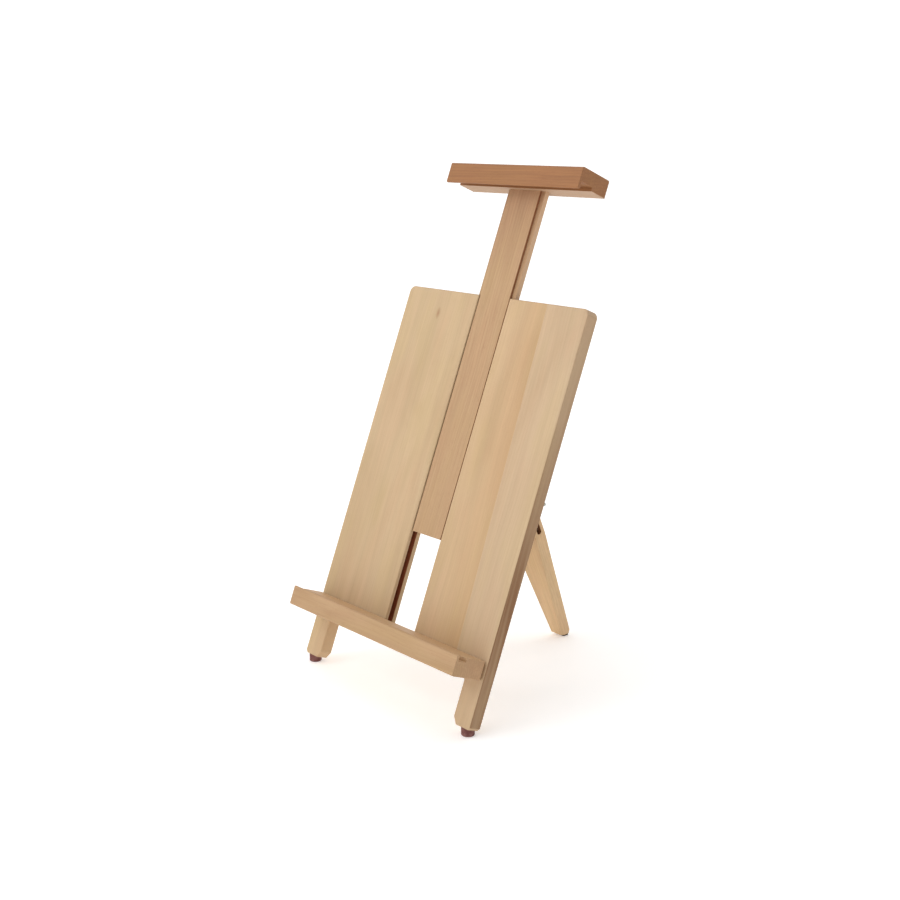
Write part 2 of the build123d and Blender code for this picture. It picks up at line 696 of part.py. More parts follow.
# The pins are riveted flush into the arms and turn in the cheeks; a cap holds each outer end.
CAP_START = CHEEK_OUTER + PIN_CAP_GAP
with BuildPart() as stay_pins:
    with BuildSketch(across_axis(PIVOT, ARM_INNER)):
        Circle(ARM_BOLT_RADIUS)
    extrude(amount=CAP_START + PIN_CAP + PIN_PROUD - ARM_INNER)
    mirror(about=Plane.YZ)
save(stay_pins, "stay_pins")

with BuildPart() as stay_pin_caps:
    crosswise_ring(PIVOT, CAP_START, CAP_START + PIN_CAP, PIN_CAP_RADIUS, ARM_BOLT_RADIUS + FIT)
    mirror(about=Plane.YZ)
save(stay_pin_caps, "stay_pin_caps")

BOLT_HEAD = 3.2
BOLT_HEAD_RADIUS = 5.0
BOLT_END = 40.0
NUT_START = ARM_OUTER + ARM_WASHER + 0.3

with BuildPart() as slot_bolt:
    with BuildSketch(across_axis(ARM_BOLT, -ARM_OUTER - ARM_WASHER)):
        Circle(ARM_BOLT_RADIUS)
    extrude(amount=BOLT_END + ARM_OUTER + ARM_WASHER)
    chamfer(slot_bolt.edges().group_by(Axis.X)[-1], 0.5)
    with BuildSketch(across_axis(ARM_BOLT, -ARM_OUTER - ARM_WASHER)):
        Circle(BOLT_HEAD_RADIUS)
    extrude(amount=-BOLT_HEAD)
    fillet(slot_bolt.edges().group_by(Axis.X)[0], BOLT_HEAD / 2)
save(slot_bolt, "slot_bolt")

with BuildPart() as slot_washers:
    crosswise_ring(ARM_BOLT, ARM_OUTER, ARM_OUTER + ARM_WASHER, ARM_WASHER_RADIUS, ARM_BOLT_RADIUS + FIT)
    mirror(about=Plane.YZ)
save(slot_washers, "slot_washers")

# ---------------------------------------------------------------- the wing nut

HUB = 7.0
HUB_RADIUS = 5.5
HUB_TOP_RADIUS = 4.4
WING_THICKNESS = 2.2
WING_SPREAD = 13.0          # from the axis to the wings' tips
WING_HEIGHT = 13.0
WING_TILT = math.radians(50)   # how far the wings are turned up from level

NUT_SEAT = ARM_BOLT + ACROSS * NUT_START
WINGS = Vector(0, math.cos(WING_TILT), math.sin(WING_TILT))
WING_PLANE = Plane(origin=NUT_SEAT, x_dir=WINGS, z_dir=WINGS.cross(ACROSS))   # sketch in (radial, X)

with BuildPart() as wing_nut:
    with BuildSketch(WING_PLANE):
        with BuildLine():
            Polyline((0, 0), (HUB_RADIUS, 0), (HUB_TOP_RADIUS, HUB), (0, HUB), close=True)
        make_face()
    revolve(axis=Axis(NUT_SEAT, ACROSS))
    with BuildSketch(WING_PLANE):
        with BuildLine():
            Line((0, 1.0), (HUB_RADIUS, 1.0))
            Spline(
                (HUB_RADIUS, 1.0),
                (WING_SPREAD - 2.5, 5.0),
                (WING_SPREAD, WING_HEIGHT - 3.5),
                (WING_SPREAD - 2.5, WING_HEIGHT),
                (WING_SPREAD - 5.5, WING_HEIGHT - 3.0),
                (HUB_TOP_RADIUS, HUB - 0.8),
            )
            Line((HUB_TOP_RADIUS, HUB - 0.8), (0, HUB - 0.8))
            Line((0, HUB - 0.8), (0, 1.0))
        make_face()
    extrude(amount=WING_THICKNESS / 2, both=True)
    mirror(about=Plane(origin=NUT_SEAT, z_dir=WINGS))
    with Locations(across_axis(NUT_SEAT, HUB)):
        Hole(ARM_BOLT_RADIUS + RUNNING_FIT, depth=HUB * 2)
save(wing_nut, "wing_nut")
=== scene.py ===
import json
import math

import bpy
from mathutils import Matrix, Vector


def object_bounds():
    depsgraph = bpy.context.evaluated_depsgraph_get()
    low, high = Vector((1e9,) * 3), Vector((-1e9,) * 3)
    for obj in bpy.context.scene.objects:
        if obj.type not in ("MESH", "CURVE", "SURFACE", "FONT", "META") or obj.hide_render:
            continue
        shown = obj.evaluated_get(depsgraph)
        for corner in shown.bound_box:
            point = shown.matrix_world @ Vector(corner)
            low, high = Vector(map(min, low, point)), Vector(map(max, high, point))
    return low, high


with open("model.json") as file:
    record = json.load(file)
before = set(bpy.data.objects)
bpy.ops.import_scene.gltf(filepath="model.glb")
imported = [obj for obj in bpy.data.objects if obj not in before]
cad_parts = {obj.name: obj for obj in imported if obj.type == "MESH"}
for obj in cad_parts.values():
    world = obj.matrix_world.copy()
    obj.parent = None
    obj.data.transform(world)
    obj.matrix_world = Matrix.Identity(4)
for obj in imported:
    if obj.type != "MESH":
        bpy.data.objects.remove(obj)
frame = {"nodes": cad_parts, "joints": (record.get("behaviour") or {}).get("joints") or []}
cad_low, cad_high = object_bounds()
nodes = frame["nodes"]
joints = {joint["name"]: joint for joint in frame["joints"]}

# ---------------------------------------------------------------- directions, from the record

CLAMP_DEPTH = 0.038         # how far the clamp joint's point lies behind the panel's front

CROSSWISE = Vector((1, 0, 0))
MAST_AXIS = Vector(joints["mast_slide"]["axis"])
OUT = CROSSWISE.cross(MAST_AXIS)                 # out of the panel's front
PANEL_FACE = OUT.dot(Vector(joints["clamp_turn"]["pos_m"])) + CLAMP_DEPTH
FLOOR_LINE = Vector((0, -PANEL_FACE / MAST_AXIS.z, 0))     # where that front meets the floor
PANEL_UP = MAST_AXIS.dot(FLOOR_LINE)             # distances up the panel start here

HINGE = Vector(joints["leg_fold"]["pos_m"])
SLOT_BOLT = Vector(joints["wing_nut_turn"]["pos_m"])
LEG_AXIS = (HINGE - SLOT_BOLT).normalized()      # up the open leg
LEG_BACK = LEG_AXIS.cross(CROSSWISE)


# ---------------------------------------------------------------- node trees


class Tree:
    """A material's node tree, with short calls for what the materials share."""

    def __init__(self, name):
        self.material = bpy.data.materials.new(name)
        self.material.use_nodes = True
        self.nodes = self.material.node_tree.nodes
        self.links = self.material.node_tree.links
        self.nodes.clear()
        self.shader = self.nodes.new("ShaderNodeBsdfPrincipled")
        output = self.nodes.new("ShaderNodeOutputMaterial")
        self.links.new(self.shader.outputs["BSDF"], output.inputs["Surface"])

    def give(self, socket, value):
        """Link a socket to another one, or set it to a plain value."""
        if isinstance(value, bpy.types.NodeSocket):
            self.links.new(value, socket)
        elif value is not None:
            socket.default_value = value

    def surface(self, **values):
        """Link or set the shader's inputs, named with underscores for spaces."""
        for name, value in values.items():
            self.give(self.shader.inputs[name.replace("_", " ")], value)

    def coordinates(self, output="Object"):
        return self.nodes.new("ShaderNodeTexCoord").outputs[output]

    def math(self, operation, first, second=None, clamp=False):
        node = self.nodes.new("ShaderNodeMath")
        node.operation = operation
        node.use_clamp = clamp
        self.give(node.inputs[0], first)
        self.give(node.inputs[1], second)
        return node.outputs[0]

    def vector(self, operation, first, second=None):
        node = self.nodes.new("ShaderNodeVectorMath")
        node.operation = operation
        self.give(node.inputs[0], first)
        self.give(node.inputs[1], second)
        return node.outputs["Value" if operation in ("LENGTH", "DOT_PRODUCT") else "Vector"]

    def along(self, vector, direction):
        """How far a place lies along a direction."""
        return self.vector("DOT_PRODUCT", vector, tuple(direction))

    def between(self, value, low, high):
        """1 where a value lies between two limits, else 0."""
        above = self.math("GREATER_THAN", value, low)
        return self.math("MULTIPLY", above, self.math("LESS_THAN", value, high))

    def mapping(self, vector, rotation=(0, 0, 0), scale=(1, 1, 1), location=(0, 0, 0)):
        node = self.nodes.new("ShaderNodeMapping")
        self.give(node.inputs["Vector"], vector)
        node.inputs["Rotation"].default_value = rotation
        node.inputs["Scale"].default_value = scale
        node.inputs["Location"].default_value = location
        return node.outputs["Vector"]

    def noise(self, vector, output="Fac", scale=1.0, detail=3.0, roughness=0.5, distortion=0.0):
        node = self.nodes.new("ShaderNodeTexNoise")
        self.give(node.inputs["Vector"], vector)
        node.inputs["Scale"].default_value = scale
        node.inputs["Detail"].default_value = detail
        node.inputs["Roughness"].default_value = roughness
        node.inputs["Distortion"].default_value = distortion
        return node.outputs[output]

    def ramp(self, factor, *stops):
        """Blend through (position, grey or colour) stops."""
        node = self.nodes.new("ShaderNodeValToRGB")
        self.give(node.inputs["Fac"], factor)
        elements = node.color_ramp.elements
        while len(elements) < len(stops):
            elements.new(0.5)
        for element, (position, colour) in zip(elements, stops):
            element.position = position
            grey = isinstance(colour, (int, float))
            element.color = (colour, colour, colour, 1) if grey else (*colour, 1)
        return node.outputs["Color"]

    def mix(self, factor, first, second, blend="MIX"):
        node = self.nodes.new("ShaderNodeMix")
        node.data_type = "RGBA"
        node.blend_type = blend
        self.give(node.inputs["Factor"], factor)
        self.give(node.inputs["A"], first if not isinstance(first, tuple) else (*first, 1))
        self.give(node.inputs["B"], second if not isinstance(second, tuple) else (*second, 1))
        return node.outputs["Result"]

    def tint(self, wood, colour):
        return self.mix(1.0, wood, colour, "MULTIPLY")

    def bevel(self, radius):
        node = self.nodes.new("ShaderNodeBevel")
        node.samples = 6
        node.inputs["Radius"].default_value = radius
        return node.outputs["Normal"]

    def bump(self, height, distance, strength, edge_radius):
        """A relief on the surface, whose edges look rounded with a radius."""
        node = self.nodes.new("ShaderNodeBump")
        self.give(node.inputs["Height"], height)
        node.inputs["Distance"].default_value = distance
        node.inputs["Strength"].default_value = strength
        self.give(node.inputs["Normal"], self.bevel(edge_radius))
        return node.outputs["Normal"]

    def worn_and_highlit_edge(self, radius):
        """1 on the sharp outer edges and 0 on the flats, fading over a radius."""
        surface = self.nodes.new("ShaderNodeNewGeometry").outputs["Normal"]
        turned = self.math("SUBTRACT", 1.0, self.vector("DOT_PRODUCT", surface, self.bevel(radius)))
        return self.ramp(turned, (0.01, 0.0), (0.22, 1.0))


def linear(red, green, blue):
    """A colour given as 0 to 255 screen values, in the linear values that shaders take."""
    def one(value):
        value /= 255
        return value / 12.92 if value <= 0.04045 else ((value + 0.055) / 1.055) ** 2.4
    return (one(red), one(green), one(blue))


def scaled(colour, factor):
    """A colour made brighter or darker."""
    return tuple(min(1.0, channel * factor) for channel in colour)


def rotation_to_z(axis):
    """Euler angles of a turn that brings an axis onto +Z."""
    return axis.rotation_difference(Vector((0, 0, 1))).to_euler()


# ---------------------------------------------------------------- wood

RING_SPACING = 0.0038
RING_WANDER = 2.2           # how far the rings stray, in spacings
SWAY = (0.024, 0.024, 0.0)  # how far the grain strays sideways over its length

# Noise scales per metre: twice across the grain, then along it.
SWAY_SCALE = (9, 9, 2.2)
WANDER_SCALE = (60, 60, 3)
FIBRE_SCALE = (520, 520, 11)
STREAK_SCALE = (85, 85, 2.6)
FLECK_SCALE = (900, 900, 150)
PATCH_SCALE = (14, 14, 5)
HUE_SCALE = (30, 30, 9)

# Tints that the wood is multiplied by.
UNTINTED = (1, 1, 1)
PATCH_DARK = (0.94, 0.92, 0.89)
PATCH_LIGHT = (1.03, 1.04, 1.05)
PINKISH = (1.01, 0.985, 0.99)
YELLOWISH = (0.99, 1.0, 0.96)

STREAK_LIGHT = 1.09         # brightness of the light streaks over the usual tone
EDGE_WEAR_AND_HIGHLIGHT = 1.22           # and of the edges, lighter partly from wear and partly as a painted highlight
LATE_WOOD_DARK = 0.34       # how much of the dark tone late wood takes, and ray flecks
FLECK_DARK = 0.22
# how much the edges lighten, partly wear and partly a painted highlight on the rounded arrises
EDGE_WEAR_AND_HIGHLIGHT_AMOUNT = 0.55
EDGE_WEAR_AND_HIGHLIGHT_RADIUS = 0.0016
ARRIS_RADIUS = 0.0006
FIBRE_RELIEF = 0.00022
OIL_ROUGHNESS = 0.46
OIL_IOR = 1.45


def grain_layers(tree, along_grain, pith, seed):
    """Late wood of the growth rings, fibres, broad streaks and ray flecks, each from 0 to 1."""
    slow = tree.mapping(along_grain, scale=SWAY_SCALE, location=(seed, seed * 2.3, 0))
    sway = tree.vector("SUBTRACT", tree.noise(slow, "Color", detail=2), (0.5, 0.5, 0.5))
    bent = tree.vector("ADD", along_grain, tree.vector("MULTIPLY", sway, SWAY))

    across = tree.vector("ADD", bent, (pith[0], pith[1], 0))
    radius = tree.vector("LENGTH", tree.vector("MULTIPLY", across, (1, 1, 0)))
    uneven = tree.noise(tree.mapping(bent, scale=WANDER_SCALE, location=(seed * 3.1, 0, seed)), detail=2)
    ring = tree.math("DIVIDE", radius, RING_SPACING)
    ring = tree.math("ADD", ring, tree.math("MULTIPLY", uneven, RING_WANDER))
    ring = tree.math("FRACT", ring)
    late_wood = tree.ramp(ring, (0.0, 0.55), (0.15, 0.12), (0.6, 0.25), (0.9, 0.9), (1.0, 0.55))

    fibre_place = tree.mapping(bent, scale=FIBRE_SCALE, location=(seed, seed, seed))
    fibres = tree.noise(fibre_place, detail=5, roughness=0.62)
    streak_place = tree.mapping(bent, scale=STREAK_SCALE, location=(seed * 1.7, 0, seed))
    streaks = tree.noise(streak_place, detail=3, roughness=0.55)
    fleck_place = tree.mapping(bent, scale=FLECK_SCALE, location=(0, seed, 0))
    flecks = tree.noise(fleck_place, detail=2, roughness=0.4)
    return late_wood, fibres, streaks, tree.ramp(flecks, (0.60, 0.0), (0.70, 1.0))


def grain_colour(tree, colour, dark, layers, contrast):
    """The layers of the grain, from the light streaks to the dark flecks."""
    late_wood, fibres, streaks, fleck = layers
    light_streak = tree.ramp(streaks, (0.36, 0.0), (0.66, 1.0))
    wood = tree.mix(light_streak, colour, scaled(colour, STREAK_LIGHT))
    wood = tree.mix(tree.math("MULTIPLY", late_wood, LATE_WOOD_DARK * contrast), wood, dark)
    dark_fibre = tree.ramp(fibres, (0.38, 0.30), (0.60, 0.0))
    wood = tree.mix(tree.math("MULTIPLY", dark_fibre, contrast), wood, dark)
    return tree.mix(tree.math("MULTIPLY", fleck, FLECK_DARK * contrast), wood, dark)


def uneven_tone(tree, wood, along_grain, seed):
    """Soft patches of shade and of hue, as large as a hand."""
    patch_place = tree.mapping(along_grain, scale=PATCH_SCALE, location=(seed, 0, seed))
    patches = tree.noise(patch_place, detail=3, distortion=0.6)
    wood = tree.tint(wood, tree.ramp(patches, (0.32, PATCH_DARK), (0.50, UNTINTED), (0.68, PATCH_LIGHT)))
    hues = tree.noise(tree.mapping(along_grain, scale=HUE_SCALE, location=(0, seed, seed)), detail=2)
    return tree.tint(wood, tree.ramp(hues, (0.36, PINKISH), (0.5, UNTINTED), (0.64, YELLOWISH)))


def end_grain(tree, wood, turn, dark, end_shade):
    """The sawn ends of the fibres are darker."""
    split = tree.nodes.new("ShaderNodeSeparateXYZ")
    tree.give(split.inputs[0], tree.mapping(tree.coordinates("Normal"), rotation=turn))
    ends = tree.math("POWER", tree.math("ABSOLUTE", split.outputs["Z"]), 4.0, clamp=True)
    return tree.mix(tree.math("MULTIPLY", ends, end_shade), wood, dark)


def painted_side_shade(tree, wood, place, streaks, side_shade_tone):
    """Painted shade on the boards' narrow outer sides, in streaks and most of it low down."""
    sideways = tree.math("ABSOLUTE", tree.along(place, CROSSWISE))
    side = tree.math("GREATER_THAN", sideways, BOARD_SIDE_X)
    height = tree.along(place, (0, 0, 1))
    amount = tree.ramp(height, (0.0, 0.82), (0.06, 0.88), (0.14, 1.0), (0.28, 0.58), (0.45, 0.28))
    streaky = tree.ramp(streaks, (0.40, 0.60), (0.58, 1.0))
    amount = tree.math("MULTIPLY", tree.math("MULTIPLY", amount, side), streaky)
    return tree.mix(amount, wood, side_shade_tone)


def small_knot(tree, wood, along_grain, centre, turn, tone):
    """A pin knot, longer along the grain."""
    middle = Vector(centre)
    middle.rotate(turn)
    away = tree.vector("SUBTRACT", along_grain, tuple(middle))
    away = tree.vector("LENGTH", tree.vector("MULTIPLY", away, (1.0, 1.0, 0.45)))
    spot = tree.ramp(away, (0.0008, 0.75), (0.0022, 0.25), (0.0040, 0.0))
    return tree.mix(spot, wood, tone)


def painted_light_and_shade(tree, wood, tone, amount, bands):
    """Painted shade and painted light: another tone on one part of a piece.

    Each band is a coordinate (Object or Normal), a direction and the limits along it.
    """
    inside = amount
    for coordinate, direction, low, high in bands:
        within = tree.between(tree.along(tree.coordinates(coordinate), direction), low, high)
        inside = tree.math("MULTIPLY", within, inside)
    return tree.mix(inside, wood, tone)


def wood_surface(tree, late_wood, fibres, fleck, worn):
    """The oiled surface: its sheen follows the fibres, which also stand up a little."""
    gloss = tree.math("MULTIPLY", fibres, 0.25)
    gloss = tree.math("ADD", gloss, tree.math("MULTIPLY", late_wood, -0.06))
    gloss = tree.math("SUBTRACT", gloss, tree.math("MULTIPLY", worn, 0.08))
    height = tree.math("MULTIPLY", fibres, 0.6)
    height = tree.math("SUBTRACT", height, tree.math("MULTIPLY", fleck, 0.25))
    height = tree.math("SUBTRACT", height, tree.math("MULTIPLY", late_wood, 0.12))
    tree.surface(
        Roughness=tree.math("ADD", gloss, OIL_ROUGHNESS),
        IOR=OIL_IOR,
        Specular_IOR_Level=0.3,
        Normal=tree.bump(height, FIBRE_RELIEF, strength=0.7, edge_radius=ARRIS_RADIUS),
    )


def beech(name, colour, dark, grain, pith, seed, contrast=0.26, end_shade=0.35, **extra):
    """Oiled beech: growth rings round a pith line, fibres along the grain, and small ray flecks.

    colour and dark are the wood's usual and darkest tones, grain is the direction of the fibres,
    and pith is the distance of the log's centre line from the origin, across the grain.  end_shade
    darkens the sawn ends.  The extras are turning, a direction, the two places along it between
    which the wood's tone turns, and the tint it turns to, which on the mast is partly painted shade
    under the top bar; side, the painted shade on a panel board's outer sides; knot, the place of a
    pin knot; and parts, the tones, amounts and bands of parts with painted shade and painted light.
    """
    tree = Tree(name)
    turn = rotation_to_z(grain)
    place = tree.coordinates()
    along_grain = tree.mapping(place, rotation=turn)
    layers = grain_layers(tree, along_grain, pith, seed)
    late_wood, fibres, streaks, fleck = layers

    wood = grain_colour(tree, colour, dark, layers, contrast)
    wood = uneven_tone(tree, wood, along_grain, seed)
    wood = end_grain(tree, wood, turn, dark, end_shade)
    if "turning" in extra:
        direction, start, end, tint = extra["turning"]
        wood = tree.tint(wood, tree.ramp(tree.along(place, direction), (start, UNTINTED), (end, tint)))
    # painted shade on the boards' outer sides
    if "side" in extra:
        wood = painted_side_shade(tree, wood, place, streaks, extra["side"])
    if "knot" in extra:
        wood = small_knot(tree, wood, along_grain, extra["knot"], turn, dark)
    for tone, amount, bands in extra.get("parts", ()):
        wood = painted_light_and_shade(tree, wood, tone, amount, bands)

    # Lighter edges: partly wear, partly a painted highlight on the rounded arrises.
    worn = tree.worn_and_highlit_edge(EDGE_WEAR_AND_HIGHLIGHT_RADIUS)
    wood = tree.mix(tree.math("MULTIPLY", worn, EDGE_WEAR_AND_HIGHLIGHT_AMOUNT), wood, scaled(colour, EDGE_WEAR_AND_HIGHLIGHT))
    tree.surface(Base_Color=wood)
    wood_surface(tree, late_wood, fibres, fleck, worn)
    return tree.material


# ---------------------------------------------------------------- metal, rubber and plastic

CLOUD_SCALE = (60, 60, 60)
MARK_SCALE = (400, 1800, 1800)         # drawn out along X, the way the bolts lie


def plated_metal(name, colour, seed):
    """Plated or plain metal: fine drawing marks and dull clouds in its shine."""
    tree = Tree(name)
    place = tree.coordinates()
    clouds = tree.noise(tree.mapping(place, scale=CLOUD_SCALE, location=(seed, 0, 0)), detail=4)
    marks = tree.noise(tree.mapping(place, scale=MARK_SCALE), detail=4, roughness=0.6)
    darker = scaled(colour, 0.72)
    rough = tree.math("MULTIPLY", clouds, 0.22)
    rough = tree.math("ADD", rough, tree.math("MULTIPLY", marks, 0.12))
    tree.surface(
        Base_Color=tree.mix(tree.ramp(clouds, (0.35, 0.0), (0.65, 1.0)), darker, colour),
        Metallic=1.0,
        Roughness=tree.math("ADD", rough, 0.18),
        Normal=tree.bump(marks, distance=0.00004, strength=0.5, edge_radius=0.0003),
    )
    return tree.material


def rubber(name, colour, dusty):
    """Dark rubber, a little dusty, with a fine moulded grain."""
    tree = Tree(name)
    place = tree.coordinates()
    grain = tree.noise(place, scale=1600, detail=3, roughness=0.6)
    dust = tree.noise(place, scale=160, detail=4, roughness=0.65)
    tree.surface(
        Base_Color=tree.mix(tree.ramp(dust, (0.42, 0.0), (0.70, 0.55)), colour, dusty),
        Roughness=tree.math("ADD", tree.math("MULTIPLY", grain, 0.25), 0.55),
        Specular_IOR_Level=0.3,
        Normal=tree.bump(grain, distance=0.0001, strength=0.6, edge_radius=0.0008),
    )
    return tree.material


def moulded_plastic(name, colour):
    """Moulded plastic with a fine spark-eroded texture, polished a little where hands turn it."""
    tree = Tree(name)
    place = tree.coordinates()
    grain = tree.noise(place, scale=2200, detail=2)
    worn = tree.ramp(tree.noise(place, scale=90, detail=4), (0.45, 0.0), (0.7, 1.0))
    polished = tuple(channel * 1.8 + 0.004 for channel in colour)
    tree.surface(
        Base_Color=tree.mix(tree.math("MULTIPLY", worn, 0.5), colour, polished),
        Roughness=tree.math("SUBTRACT", 0.5, tree.math("MULTIPLY", worn, 0.14)),
        Normal=tree.bump(grain, distance=0.00006, strength=0.5, edge_radius=0.0005),
    )
    return tree.material


# ---------------------------------------------------------------- tones

BOARD = linear(196, 169, 133)
BOARD_PINK = linear(195, 168, 135)
BOARD_WARM = linear(197, 167, 130)
BOARD_DARK = linear(158, 114, 78)
# tone of the painted shade on the boards' outer sides
BOARD_SIDE_SHADE = linear(134, 95, 62)
MAST = linear(186, 153, 116)
MAST_DARK = linear(150, 100, 66)
TRIM = linear(186, 153, 116)
TRIM_DARK = linear(146, 98, 62)
LEG = linear(212, 181, 139)
BAR = linear(162, 114, 74)
BAR_DARK = linear(122, 78, 50)

# Tones of painted shade (grooves, shoulders, slot) and painted light (tongue side, bar underside, ledge
# top).
GROOVE_SHADE = linear(150, 72, 38)
SHOULDER_SHADE = linear(132, 80, 50)
TONGUE_LIGHT = linear(216, 182, 148)
SLOT_SHADE = linear(120, 70, 40)
UNDERSIDE_LIGHT = linear(196, 168, 140)
TRAY_LIGHT = linear(214, 178, 136)

WARM_TINT = (0.95, 0.90, 0.82)
# redder and darker towards the mast's top: partly the wood's hue, partly painted shade under the top bar
REDDER_SHADED_TINT = (0.88, 0.80, 0.82)

# ---------------------------------------------------------------- parts of a piece in another tone: painted shade and painted light

BOARD_SIDE_X = 0.1496       # X beyond which only the boards' flat outer sides lie
MAST_SIDE_X = 0.0247
TONGUE_SIDE_X = 0.0304
SKIN = 0.0002               # how far a band reaches to either side of a face
KNOT_ACROSS = -0.087
KNOT_UP = 0.454


def crosswise(low, high):
    """The band between two X values."""
    return ("Object", CROSSWISE, low, high)


def face_at(x):
    """The face that lies at an X value, square to X."""
    return crosswise(x - SKIN, x + SKIN)


def behind_face(low, high):
    """The band between two depths behind the panel's face."""
    return ("Object", OUT, PANEL_FACE - high, PANEL_FACE - low)


def up_panel(low, high):
    """The band between two distances up the panel."""
    return ("Object", MAST_AXIS, PANEL_UP + low, PANEL_UP + high)


def from_hinge(direction, low, high):
    """The band between two distances from the leg's hinge along a direction."""
    start = direction.dot(HINGE)
    return ("Object", direction, start + low, start + high)


def facing(direction):
    """The faces that look along a direction."""
    return ("Normal", direction, 0.9, 1.1)


NOT_SIDEWAYS = ("Normal", CROSSWISE, -0.5, 0.5)
GROOVE_WALLS = behind_face(0.0036, 0.0110)

# painted shade in the boards' grooves, where the mast's tongues run
LEFT_GROOVE_SHADE = (GROOVE_SHADE, 0.85, (GROOVE_WALLS, crosswise(-0.0352, -0.0250)))
RIGHT_GROOVE_SHADE = (GROOVE_SHADE, 0.85, (GROOVE_WALLS, crosswise(0.0250, 0.0352)))
# painted shade on the mast's shoulders, in the corner before each tongue
LEFT_SHOULDER_SHADE = (SHOULDER_SHADE, 0.8, (face_at(-MAST_SIDE_X),))
RIGHT_SHOULDER_SHADE = (SHOULDER_SHADE, 0.8, (face_at(MAST_SIDE_X),))
# painted light on the right side of the mast's tongue
LIT_TONGUE_SIDE = (TONGUE_LIGHT, 0.6, (face_at(TONGUE_SIDE_X),))
# painted light on the ledge's upward faces
LIT_LEDGE_TOP = (TRAY_LIGHT, 0.6, (facing(MAST_AXIS),))
# painted shade in the groove under the top bar's lip
BAR_GROOVE_SHADE = (BAR_DARK, 0.15, (behind_face(-0.0232, -0.0048), up_panel(0.6095, 0.6178), NOT_SIDEWAYS))
# painted light on the top bar's flat underside, as from the floor below
LIT_BAR_UNDERSIDE = (UNDERSIDE_LIGHT, 0.6, (behind_face(-0.0049, 0.0190), up_panel(0.6120, 0.6134)))
# painted shade on the walls inside the leg's slot
LEG_SLOT_SHADE = (
    SLOT_SHADE, 0.85,
    (from_hinge(LEG_BACK, -0.0036, 0.0036), from_hinge(LEG_AXIS, -0.1620, -0.1040), NOT_SIDEWAYS),
)
KNOT = CROSSWISE * KNOT_ACROSS + OUT * PANEL_FACE + MAST_AXIS * (PANEL_UP + KNOT_UP)

# ---------------------------------------------------------------- the materials

rail_wood = beech("beech_rails", BOARD_WARM, BOARD_DARK, CROSSWISE, pith=(0.07, 0.22), seed=11.4)
cheek_wood = beech("beech_cheeks", TRIM, TRIM_DARK, MAST_AXIS, pith=(0.02, 0.05), seed=8.8)
steel = plated_metal("zinc_steel", linear(196, 198, 190), seed=1.3)
foot_rubber = rubber("foot_rubber", linear(106, 62, 58), dusty=linear(166, 126, 118))

materials = {
    "left_board": beech(
        "beech_left_board", BOARD, BOARD_DARK, MAST_AXIS, pith=(0.21, 0.13), seed=3.1,
        side=BOARD_SIDE_SHADE, knot=KNOT, parts=(LEFT_GROOVE_SHADE,),
    ),
    "right_board_inner_stave": beech(
        "beech_inner_stave", BOARD_WARM, BOARD_DARK, MAST_AXIS, pith=(-0.30, 0.16), seed=7.7,
        turning=(CROSSWISE, 0.045, 0.1, WARM_TINT), parts=(RIGHT_GROOVE_SHADE,),
    ),
    "right_board_outer_stave": beech(
        "beech_outer_stave", BOARD_PINK, BOARD_DARK, MAST_AXIS, pith=(-0.05, 0.11), seed=12.9,
        side=BOARD_SIDE_SHADE,
    ),
    "mast": beech(
        "beech_mast", MAST, MAST_DARK, MAST_AXIS, pith=(0.03, 0.12), seed=5.3, contrast=0.62,
        # painted shade under the top bar, turning the mast redder and darker towards its top
        turning=(MAST_AXIS, PANEL_UP + 0.50, PANEL_UP + 0.615, REDDER_SHADED_TINT),
        parts=(LEFT_SHOULDER_SHADE, RIGHT_SHOULDER_SHADE, LIT_TONGUE_SIDE),
    ),
    "ledge": beech(
        "beech_ledge", TRIM, TRIM_DARK, CROSSWISE, pith=(0.05, 0.04), seed=9.2, contrast=0.55,
        end_shade=0.15, parts=(LIT_LEDGE_TOP,),
    ),
    "top_bar": beech(
        "beech_top_bar", BAR, BAR_DARK, CROSSWISE, pith=(-0.42, 0.03), seed=2.4, contrast=0.85,
        end_shade=0.2, parts=(BAR_GROOVE_SHADE, LIT_BAR_UNDERSIDE),
    ),
    "rear_leg": beech(
        "beech_leg", LEG, TRIM_DARK, LEG_AXIS, pith=(0.05, 0.02), seed=6.6, contrast=0.4,
        parts=(LEG_SLOT_SHADE,),
    ),
    "bottom_rail": rail_wood,
    "stay_rail": rail_wood,
    "hinge_rail": rail_wood,
    "clamp_rail": rail_wood,
    "left_cheek": cheek_wood,
    "right_cheek": cheek_wood,
    "left_foot_pad": foot_rubber,
    "right_foot_pad": foot_rubber,
    "leg_pad": rubber("leg_rubber", linear(74, 54, 40), dusty=linear(120, 96, 74)),
    "clamp_insert": plated_metal("brass", linear(206, 172, 96), seed=4.1),
    "clamp_knob": moulded_plastic("black_plastic", linear(34, 34, 35)),
}

for name, node in nodes.items():
    node.data.materials.clear()
    node.data.materials.append(materials.get(name, steel))

# ---------------------------------------------------------------- studio

FLOOR_HALF = 30.0
FLOOR_TONE = linear(250, 250, 250)
FLOOR_LIGHT_TONE = linear(253, 253, 253)
FLOOR_GLOW = 0.32

SKY_BRIGHT = 1.12
SKY_DIM = 0.12
SKY_FADES = {"X": (0.0, 0.6), "Z": (0.22, 0.42)}   # how far that way the dimming begins and is full

KEY_PLACE = Vector((-0.9, -2.2, 2.0))
KEY_SIZE = 1.6
KEY_POWER = 15

CAMERA_PLACE = (1.1366, -1.0397, 0.6420)
CAMERA_HEADING = math.radians(48.55)    # turned to the left from looking along +Y
CAMERA_PITCH = math.radians(-13.55)
CAMERA_LENS = 53.85
SENSOR_WIDTH = 36.0


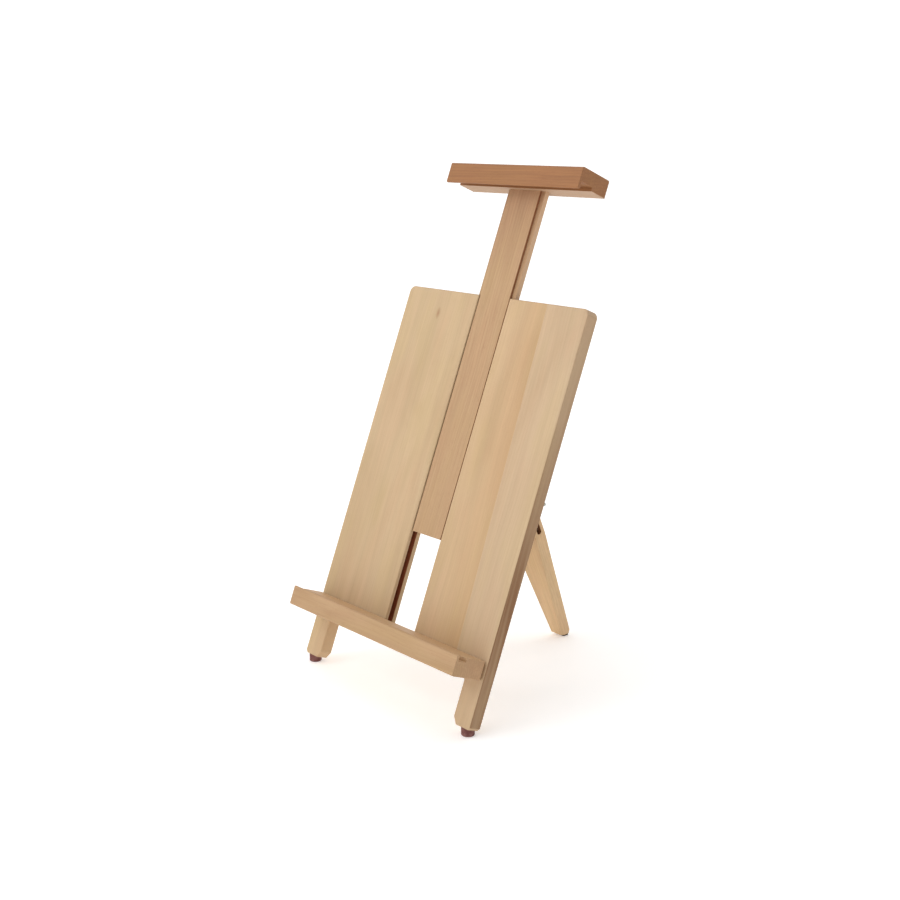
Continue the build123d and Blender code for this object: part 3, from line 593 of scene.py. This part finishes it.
def make_floor():
    """A plain pale floor, lit a little from inside like a light table."""
    mesh = bpy.data.meshes.new("floor")
    corners = [(x * FLOOR_HALF, y * FLOOR_HALF, 0) for x, y in ((-1, -1), (1, -1), (1, 1), (-1, 1))]
    mesh.from_pydata(corners, [], [(0, 1, 2, 3)])
    floor = bpy.data.objects.new("floor", mesh)
    bpy.context.scene.collection.objects.link(floor)
    tree = Tree("floor_paper")
    speckle = tree.noise(tree.coordinates(), scale=40, detail=3)
    tree.surface(
        Base_Color=tree.ramp(speckle, (0.3, FLOOR_TONE), (0.7, FLOOR_LIGHT_TONE)),
        Roughness=0.9,
        Specular_IOR_Level=0.1,
        Emission_Color=(1, 1, 1, 1),
        Emission_Strength=FLOOR_GLOW,
    )
    mesh.materials.append(tree.material)


def make_key_light(aim):
    """A square soft box in front of the easel, to its left."""
    data = bpy.data.lights.new("key", "AREA")
    data.shape = "SQUARE"
    data.size = KEY_SIZE
    data.energy = KEY_POWER
    light = bpy.data.objects.new("key", data)
    light.location = KEY_PLACE
    light.rotation_euler = (aim - KEY_PLACE).to_track_quat("-Z", "Y").to_euler()
    bpy.context.scene.collection.objects.link(light)


def make_world():
    """A white surround, dimmer high up on the easel's right."""
    world = bpy.data.worlds.new("studio")
    world.use_nodes = True
    tree = world.node_tree
    background = tree.nodes["Background"]
    background.inputs["Color"].default_value = (1, 1, 1, 1)
    parts = tree.nodes.new("ShaderNodeSeparateXYZ")
    tree.links.new(tree.nodes.new("ShaderNodeTexCoord").outputs["Generated"], parts.inputs[0])
    dimming = tree.nodes.new("ShaderNodeMath")
    dimming.operation = "MULTIPLY"
    for factor, (axis, (start, full)) in zip(dimming.inputs, SKY_FADES.items()):
        fade = tree.nodes.new("ShaderNodeMapRange")
        fade.interpolation_type = "SMOOTHSTEP"
        tree.links.new(parts.outputs[axis], fade.inputs["Value"])
        fade.inputs["From Min"].default_value = start
        fade.inputs["From Max"].default_value = full
        tree.links.new(fade.outputs["Result"], factor)
    strength = tree.nodes.new("ShaderNodeMapRange")
    tree.links.new(dimming.outputs[0], strength.inputs["Value"])
    strength.inputs["To Min"].default_value = SKY_BRIGHT
    strength.inputs["To Max"].default_value = SKY_DIM
    tree.links.new(strength.outputs["Result"], background.inputs["Strength"])
    bpy.context.scene.world = world


def make_camera():
    """The camera stands in front of the easel, to its right and a little above."""
    data = bpy.data.cameras.new("camera")
    data.sensor_width = SENSOR_WIDTH
    data.lens = CAMERA_LENS
    camera = bpy.data.objects.new("camera", data)
    camera.location = CAMERA_PLACE
    forward = Vector((
        -math.sin(CAMERA_HEADING) * math.cos(CAMERA_PITCH),
        math.cos(CAMERA_HEADING) * math.cos(CAMERA_PITCH),
        math.sin(CAMERA_PITCH),
    ))
    camera.rotation_euler = forward.to_track_quat("-Z", "Y").to_euler()
    bpy.context.scene.collection.objects.link(camera)
    bpy.context.scene.camera = camera


make_floor()
make_world()
make_key_light(aim=(cad_low + cad_high) / 2)
make_camera()
bpy.context.scene.view_settings.view_transform = "Standard"
